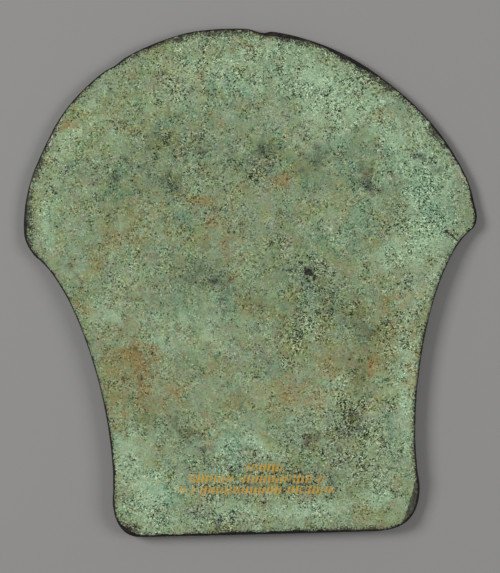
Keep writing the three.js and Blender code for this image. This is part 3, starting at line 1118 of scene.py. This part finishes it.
    def ground(self, tree: Tree, at: Socket) -> Socket:
        """The plain sage crust, clouded with its tones and tinged in soft blots."""
        colour: object = linear(self.sage)
        for cloud in self.clouds:
            mask = self.patched(tree, at, cloud.patches)
            layers = {MIX_FACTOR: mask, MIX_BELOW: colour, MIX_ABOVE: linear(cloud.colour)}
            colour = add_node(tree, "Mix", layers, MIX_RESULT, data_type="RGBA")
        blots = spread(at, self.blot, 9.0, 2.0, 0.8)
        blots = add_node(tree, "TexNoise", blots, "Color", noise_dimensions="4D")
        blots = add_node(tree, "VectorMath", (blots, (0.5, 0.5, 0.5)), operation="SUBTRACT")
        tinged = (blots, self.blot_colours, colour)
        return add_node(tree, "VectorMath", tinged, operation="MULTIPLY_ADD")

    def stained(self, tree: Tree, at: Socket, colour: Socket) -> Socket:
        """Lays every tint over the crust in clumps, where the mesh's attributes say."""
        for number, look in enumerate(self.looks):
            cover = add_node(tree, "Attribute", output="Fac", attribute_name=look.tint.value)
            clumps = spread(at, look.clump, 20.0 + 3 * number, 2.0, 0.55)
            clumps = add_node(tree, "TexNoise", clumps, noise_dimensions="4D")
            clumps = add_node(tree, "Math", (clumps, self.clump_swing, cover), operation="MULTIPLY_ADD")
            span = {
                "Value": clumps,
                "From Min": self.clump_from,
                "From Max": self.clump_full,
                "To Max": look.solid,
            }
            mask = add_node(tree, "MapRange", span, interpolation_type="SMOOTHSTEP")
            layers = {MIX_FACTOR: mask, MIX_BELOW: colour, MIX_ABOVE: linear(look.colour)}
            colour = add_node(tree, "Mix", layers, MIX_RESULT, data_type="RGBA")
        return colour

    def gritted(self, tree: Tree, at: Socket, colour: Socket) -> tuple[Socket, Socket]:
        """Grains, creases, dark pinholes and pale crumbs, crowded in some places and rare in others.
        Creases and pinholes are darkened with painted shade, the grains' lightness is partly painted
        shading of their relief, and the lighter and darker patches are partly painted highlight and
        shade.

        Args:
            tree: the material's nodes.
            at: the place in mm.
            colour: the crust's colour so far.

        Returns:
            The gritted colour, and the crust's height around 1 for the bump.
        """
        grit = add_node(tree, "Attribute", output="Fac", attribute_name=Tint.GRIT.value)
        crowds = (self.patched(tree, at, self.crowds), self.crowd_swing, self.crowd_least)
        crowded = add_node(tree, "Math", crowds, operation="MULTIPLY_ADD")
        gritty = (grit, self.grit_swing, self.grit_least)
        force = add_node(tree, "Math", gritty, operation="MULTIPLY_ADD")
        force = add_node(tree, "Math", (force, crowded), operation="MULTIPLY")
        height = light = self.crumbs(tree, at, force)
        light = self.creases(tree, at, force, light)
        light = self.dots(tree, at, grit, crowded, light)
        # The lighter and darker patches: partly the crust's own tone, partly painted highlight and
        # painted shade.
        for tint, swing in ((Tint.LIGHT, self.light_and_highlight_swing), (Tint.DIM_AND_SHADE, -self.dim_and_shade_swing)):
            cover = add_node(tree, "Attribute", output="Fac", attribute_name=tint.value)
            light = add_node(tree, "Math", (cover, swing, light), operation="MULTIPLY_ADD")

        # Part of each change is added as grey, which stands for dust and for painted highlight and
        # painted shade, so that it hardly turns the green.
        scale = add_node(tree, "Math", (light, 1 - self.dust_and_painted_light_share, self.dust_and_painted_light_share), operation="MULTIPLY_ADD")
        colour = add_node(tree, "VectorMath", {0: colour, "Scale": scale}, operation="SCALE")
        dust_and_painted_light = add_node(tree, "Math", (light, self.dust_and_painted_light_share, -self.dust_and_painted_light_share), operation="MULTIPLY_ADD")
        dust_and_painted_light = add_node(tree, "VectorMath", {0: self.dust_and_painted_light_grey, "Scale": dust_and_painted_light}, operation="SCALE")
        colour = add_node(tree, "VectorMath", (colour, dust_and_painted_light), operation="ADD")
        return add_node(tree, "VectorMath", (colour, self.deepest), operation="MAXIMUM"), height

    def crumbs(self, tree: Tree, at: Socket, force: Socket) -> Socket:
        """Lightness around 1 of the crumbs, grains and clots, partly painted shading of their small
        relief, and of the broad swells under them.
        """
        cells = {"Vector": at, "Scale": 1 / self.crumb}
        crumb = add_node(tree, "TexVoronoi", cells, "Color", voronoi_dimensions="3D")
        crumb = add_node(tree, "SeparateXYZ", (crumb,))
        crumb = add_node(tree, "Math", (crumb, 0.5), operation="SUBTRACT")
        # The cube leaves most crumbs near the mean and a few very dark or very pale.
        crumb = add_node(tree, "Math", (crumb, 3.0), operation="POWER")
        fine = add_node(tree, "Math", (crumb, self.crumb_swing), operation="MULTIPLY")
        for seed, length, swing in (
            (51.0, self.grain, self.grain_swing),
            (56.0, self.clot, self.clot_swing),
        ):
            grain = add_node(tree, "TexNoise", spread(at, length, seed, 1.0), noise_dimensions="4D")
            grain = add_node(tree, "Math", (grain, 0.5), operation="SUBTRACT")
            fine = add_node(tree, "Math", (grain, swing, fine), operation="MULTIPLY_ADD")
        light = add_node(tree, "Math", (fine, force, 1.0), operation="MULTIPLY_ADD")
        for swell in self.swells:
            light = add_node(tree, "Math", (light, self.patched(tree, at, swell)), operation="ADD")
            light = add_node(tree, "Math", (light, swell.most / 2), operation="SUBTRACT")
        return light

    def creases(self, tree: Tree, at: Socket, force: Socket, light: Socket) -> Socket:
        """Darkens short curved lines, which follow a noise's middle level, with painted shade of
        cracks.
        """
        noise_value = spread(at, self.crease, 57.0, 1.0, 0.5)
        crease = add_node(tree, "TexNoise", noise_value, noise_dimensions="4D")
        crease = add_node(tree, "Math", (crease, 0.5), operation="SUBTRACT")
        crease = add_node(tree, "Math", (crease,), operation="ABSOLUTE")
        near, far = self.crease_width
        dark = -self.crease_dark
        span = {"Value": crease, "From Min": near, "From Max": far, "To Min": dark, "To Max": 0.0}
        crease = add_node(tree, "MapRange", span, interpolation_type="SMOOTHSTEP")
        open_at = self.patched(tree, at, self.creased)
        open_at = add_node(tree, "Math", (open_at, force), operation="MULTIPLY")
        return add_node(tree, "Math", (crease, open_at, light), operation="MULTIPLY_ADD")

    def dots(self, tree: Tree, at: Socket, grit: Socket, crowded: Socket, light: Socket) -> Socket:
        """Adds the dark pinholes, painted shade in holes that the mesh doesn't have, and the pale
        crumbs to the lightness.
        """
        near, far = self.speck_reach
        for speck in self.specks:
            shade = speck.light
            cells = {"Vector": at, "W": speck.seed, "Scale": 1 / speck.spacing}
            gap = add_node(tree, "TexVoronoi", cells, voronoi_dimensions="4D")
            chance = add_node(tree, "SeparateXYZ", (gap.node.outputs["Color"],))
            wanted = add_node(tree, "Math", (grit, speck.more, speck.share), operation="MULTIPLY_ADD")
            wanted = add_node(tree, "Math", (wanted, crowded), operation="MULTIPLY")
            there = add_node(tree, "Math", (chance, wanted), operation="LESS_THAN")
            span = {"Value": gap, "From Min": near, "From Max": far, "To Min": shade, "To Max": 0.0}
            dot = add_node(tree, "MapRange", span, interpolation_type="SMOOTHSTEP")
            light = add_node(tree, "Math", (there, dot, light), operation="MULTIPLY_ADD")
        return light

    def worn(self, tree: Tree, at: Socket, colour: Socket) -> tuple[Socket, Socket]:
        """Dark hollows with dirt and painted shade, the broken facet, the tarnished and bare rim whose
        dark line is partly painted shadow along the outline, whitish flecks and a painted highlight.

        Args:
            tree: the material's nodes.
            at: the place in mm.
            colour: the crust's colour so far.

        Returns:
            The colour, and a mask that is strongest on bare metal.
        """
        distance, reach, tarnished, hollow, broken, chalk_and_highlight = (
            add_node(tree, "Attribute", output="Fac", attribute_name=name)
            for name in ("rim_distance", "bare_and_shadow_reach", "tarnish_reach", "hollow", "broken", "chalk_and_highlight")
        )
        crusted = spread(at, self.wall_patch, 76.0, 5.0, 0.7)
        crusted = add_node(tree, "TexNoise", crusted, noise_dimensions="4D")
        crusted = add_node(tree, "Math", (distance, -self.wall_fall, crusted), operation="MULTIPLY_ADD")
        low, high = self.wall_levels
        least = self.wall_least
        span = {"Value": crusted, "From Min": low, "From Max": high, "To Min": 1.0, "To Max": least}
        cleaned = add_node(tree, "MapRange", span, interpolation_type="SMOOTHSTEP")
        # Each layer starts where its reach, roughened by noise, passes the distance from the rim.
        masks = []
        for width, layer in (
            (tarnished, self.tarnish_layer),
            (reach, self.metal_and_shadow_layer),
            (reach, self.shine_layer),
        ):
            ragged = add_node(tree, "TexNoise", spread(at, layer.length, 71.0), noise_dimensions="4D")
            margin = add_node(tree, "Math", (width, distance), operation="SUBTRACT")
            margin = add_node(tree, "Math", (ragged, layer.rough, margin), operation="MULTIPLY_ADD")
            span = {"Value": margin, "From Min": layer.low, "From Max": layer.high}
            mask = add_node(tree, "MapRange", span, interpolation_type="SMOOTHSTEP")
            masks.append(add_node(tree, "Math", (mask, cleaned), operation="MULTIPLY"))
        dull, bare, shiny = masks
        clean = self.patched(tree, at, self.tarnish_clean)
        dull = add_node(tree, "Math", (dull, clean), operation="MULTIPLY")
        low, high = self.layer_levels
        for mask, tone, cover in (
            # Pits, the crack and the scratch: dark dirt and painted shade, stronger where deeper.
            (hollow, linear(self.pit_dirt_and_shade), self.hollow_cover),
            (broken, self.toned(tree, at, self.fracture), self.hollow_cover),
            (dull, self.toned(tree, at, self.tarnish), self.tarnish_cover),
            # The bare rim's dark metal, partly painted shadow along the outline.
            (bare, self.toned(tree, at, self.metal), 1.0),
            # Whitish flecks, and a painted highlight along the upper right rim.
            (chalk_and_highlight, linear(self.chalk_and_highlight_white), self.chalk_and_highlight_cover),
        ):
            span = {"Value": mask, "From Min": low, "From Max": high, "To Max": cover}
            shown = add_node(tree, "MapRange", span, interpolation_type="SMOOTHSTEP")
            layers = {MIX_FACTOR: shown, MIX_BELOW: colour, MIX_ABOVE: tone}
            colour = add_node(tree, "Mix", layers, MIX_RESULT, data_type="RGBA")
        return colour, add_node(tree, "Math", (shiny, self.metal_share), operation="MULTIPLY")

    def painted(self, tree: Tree, at: Socket, colour: Socket) -> tuple[Socket, Socket]:
        """Rows of slanted strokes in worn ochre paint, which stand for no writing.

        Args:
            tree: the material's nodes.
            at: the place in mm.
            colour: the crust's colour so far.

        Returns:
            The colour, and a mask that is 1 on paint.
        """
        east, north = (add_node(tree, "SeparateXYZ", (at,), axis) for axis in range(2))
        paint: object = 0.0
        for row in self.rows:
            stroke = self.stroke_row(tree, row, east, north)
            paint = add_node(tree, "Math", (paint, stroke), operation="MAXIMUM")
        left = self.patched(tree, at, self.paint_left)
        paint = add_node(tree, "Math", (paint, left), operation="MULTIPLY", use_clamp=True)
        layers = {MIX_FACTOR: paint, MIX_BELOW: colour, MIX_ABOVE: linear(self.paint)}
        return add_node(tree, "Mix", layers, MIX_RESULT, data_type="RGBA"), paint

    def stroke_row(self, tree: Tree, row: StrokeRow, east: Socket, north: Socket) -> Socket:
        """Cuts a row into cells of one stroke each, whose number draws its lean and height.

        Args:
            tree: the material's nodes.
            row: the row's ends and seed.
            east: the place's X in mm.
            north: the place's Y in mm.

        Returns:
            A mask that is 1 on the row's strokes.
        """
        pitch, tall = self.stroke_pitch, self.stroke_height / 2
        least_lean, most_lean = self.stroke_lean
        (left, low), (right, high) = row.left, row.right
        angle = math.atan2(high - low, right - left)
        middle = math.hypot(right - left, high - low) / 2
        cos, sin = math.cos(angle), math.sin(angle)
        half_width = self.stroke_width / 2
        made = {"east": east, "north": north}
        # Each step is a name, what is done, and the values or earlier steps that it is done to.
        for name, operation, *values in (
            ("u", "MULTIPLY_ADD", "north", sin, -left * cos - low * sin),
            ("along", "MULTIPLY_ADD", "east", cos, "u"),
            ("v", "MULTIPLY_ADD", "north", cos, left * sin - low * cos),
            ("across", "MULTIPLY_ADD", "east", -sin, "v"),
            ("share", "DIVIDE", "along", pitch),
            ("cell", "FLOOR", "share"),
            ("number", "ADD", "cell", row.seed),
            ("draw", "SINE", "number"),
            ("big_lean", "MULTIPLY", "draw", 437.5),
            ("lean", "FRACT", "big_lean"),
            ("big_tall", "MULTIPLY", "draw", 251.3),
            ("tallness", "FRACT", "big_tall"),
            ("place", "SUBTRACT", "share", "cell"),
            ("centred", "SUBTRACT", "place", 0.5),
            ("inside", "MULTIPLY", "centred", pitch),
            ("slope", "MULTIPLY_ADD", "lean", most_lean - least_lean, least_lean),
            ("slant", "MULTIPLY", "across", "slope"),
            ("side", "SUBTRACT", "inside", "slant"),
            ("off", "ABSOLUTE", "side"),
            ("body", "MULTIPLY_ADD", "off", -1 / self.stroke_blur, half_width / self.stroke_blur + 0.5),
            ("reach", "MULTIPLY_ADD", "tallness", 0.3 * tall, self.stroke_least * tall),
            ("from_middle", "ABSOLUTE", "across"),
            ("over", "SUBTRACT", "reach", "from_middle"),
            ("ends", "MULTIPLY_ADD", "over", 1 / self.stroke_end_blur, 0.5),
            ("row_left", "SUBTRACT", "along", middle),
            ("row_off", "ABSOLUTE", "row_left"),
            ("row_ends", "SUBTRACT", middle, "row_off"),
            ("drawn", "GREATER_THAN", "tallness", self.strokes_missing),
            ("thin", "MINIMUM", "body", "ends"),
            ("kept", "MINIMUM", "thin", "row_ends"),
            ("stroke", "MULTIPLY", "kept", "drawn"),
        ):
            inputs = tuple(made.get(value, value) for value in values)
            clamped = name in ("kept", "stroke")
            made[name] = add_node(tree, "Math", inputs, operation=operation, use_clamp=clamped)
        return made["stroke"]


@dataclass(frozen=True)
class SeamlessPaper:
    """Matt grey studio paper: an even, dull ground with faint fibres."""

    grey: str = "#9f9e9c"
    fibre: float = 0.8
    fibre_height: float = 0.05
    roughness: float = 0.9

    def material(self) -> bpy.types.Material:
        """Builds the material."""
        material, at = new_material("seamless_paper")
        tree = material.node_tree
        fibres = add_node(tree, "TexNoise", {"Vector": at, "Scale": 1 / self.fibre, "Detail": 2.0})
        relief = {"Strength": 0.3, "Distance": self.fibre_height * MM, "Height": fibres}
        bump = add_node(tree, "Bump", relief)
        surface = {"Base Color": linear(self.grey), "Roughness": self.roughness, "Normal": bump}
        shader = add_node(tree, "BsdfPrincipled", surface)
        add_node(tree, "OutputMaterial", {"Surface": shader})
        return material


@dataclass(frozen=True)
class SoftBox:
    """A studio light: where it hangs, its size in metres and its power in watts."""

    name: str
    place_m: tuple[float, float, float]
    size_m: float
    watts: float


@dataclass
class Studio:
    """The floor, the soft lights and a camera that looks straight down, turned a little."""

    floor_m: float = 4.0
    view_centre: tuple[float, float] = (-1.21, -1.18)
    view_long_side: float = 178.64
    view_turn_degrees: float = -3.25
    camera_height: float = 900.0
    object_top: float = 7.0
    sensor: float = 36.0
    sky_grey: str = "#bcbcbc"
    sky_strength: float = 0.37
    boxes: tuple[SoftBox, ...] = (
        SoftBox("key_left", (-0.85, 0.35, 0.95), 0.5, 9.4),
        SoftBox("fill_right", (0.9, -0.1, 0.9), 0.6, 4.8),
    )

    def build(self) -> None:
        """Makes the floor, the lights, the world and the camera."""
        self.make_floor()
        self.make_lights()
        self.make_camera()
        bpy.context.scene.view_settings.view_transform = "Standard"

    def make_floor(self) -> None:
        """Lays the paper just under the axe head."""
        half = self.floor_m / 2
        corners = [(-half, -half, 0), (half, -half, 0), (half, half, 0), (-half, half, 0)]
        mesh = bpy.data.meshes.new("floor")
        mesh.from_pydata(corners, [], [(0, 1, 2, 3)])
        mesh.materials.append(SeamlessPaper().material())
        floor = bpy.data.objects.new("floor", mesh)
        bpy.context.scene.collection.objects.link(floor)

    def make_lights(self) -> None:
        """Hangs the soft boxes, aimed at the axe head, and sets the world's even light."""
        for box in self.boxes:
            light = bpy.data.lights.new(box.name, "AREA")
            light.shape = "SQUARE"
            light.size = box.size_m
            light.energy = box.watts
            lamp = bpy.data.objects.new(box.name, light)
            lamp.location = box.place_m
            lamp.rotation_euler = (-Vector(box.place_m)).to_track_quat("-Z", "Y").to_euler()
            bpy.context.scene.collection.objects.link(lamp)
        world = bpy.data.worlds.new("even_light")
        world.use_nodes = True
        world.node_tree.nodes.clear()
        glow = {"Color": linear(self.sky_grey), "Strength": self.sky_strength}
        sky = add_node(world.node_tree, "Background", glow)
        add_node(world.node_tree, "OutputWorld", {"Surface": sky})
        bpy.context.scene.world = world

    def make_camera(self) -> None:
        """Sets the camera so that the frame's long side spans the photograph's height."""
        data = bpy.data.cameras.new("camera")
        data.sensor_width = self.sensor
        data.lens = self.sensor * self.camera_height / self.view_long_side
        data.clip_start = 0.01
        data.clip_end = 20.0
        camera = bpy.data.objects.new("camera", data)
        x, y = self.view_centre
        camera.location = Vector((x, y, self.object_top + self.camera_height)) * MM
        camera.rotation_euler = (0.0, 0.0, math.radians(self.view_turn_degrees))
        bpy.context.scene.collection.objects.link(camera)
        bpy.context.scene.camera = camera


def main() -> None:
    """Builds the studio and the axe head, and reports each piece."""
    logging.basicConfig(level=logging.INFO, format="%(message)s")
    Studio().build()
    maker = AxeHead()
    head = maker.build()
    maker.dress(head)
    head.data.calc_loop_triangles()
    LOG.info("%s: %d triangles", head.name, len(head.data.loop_triangles))


if __name__ == "__main__":
    main()
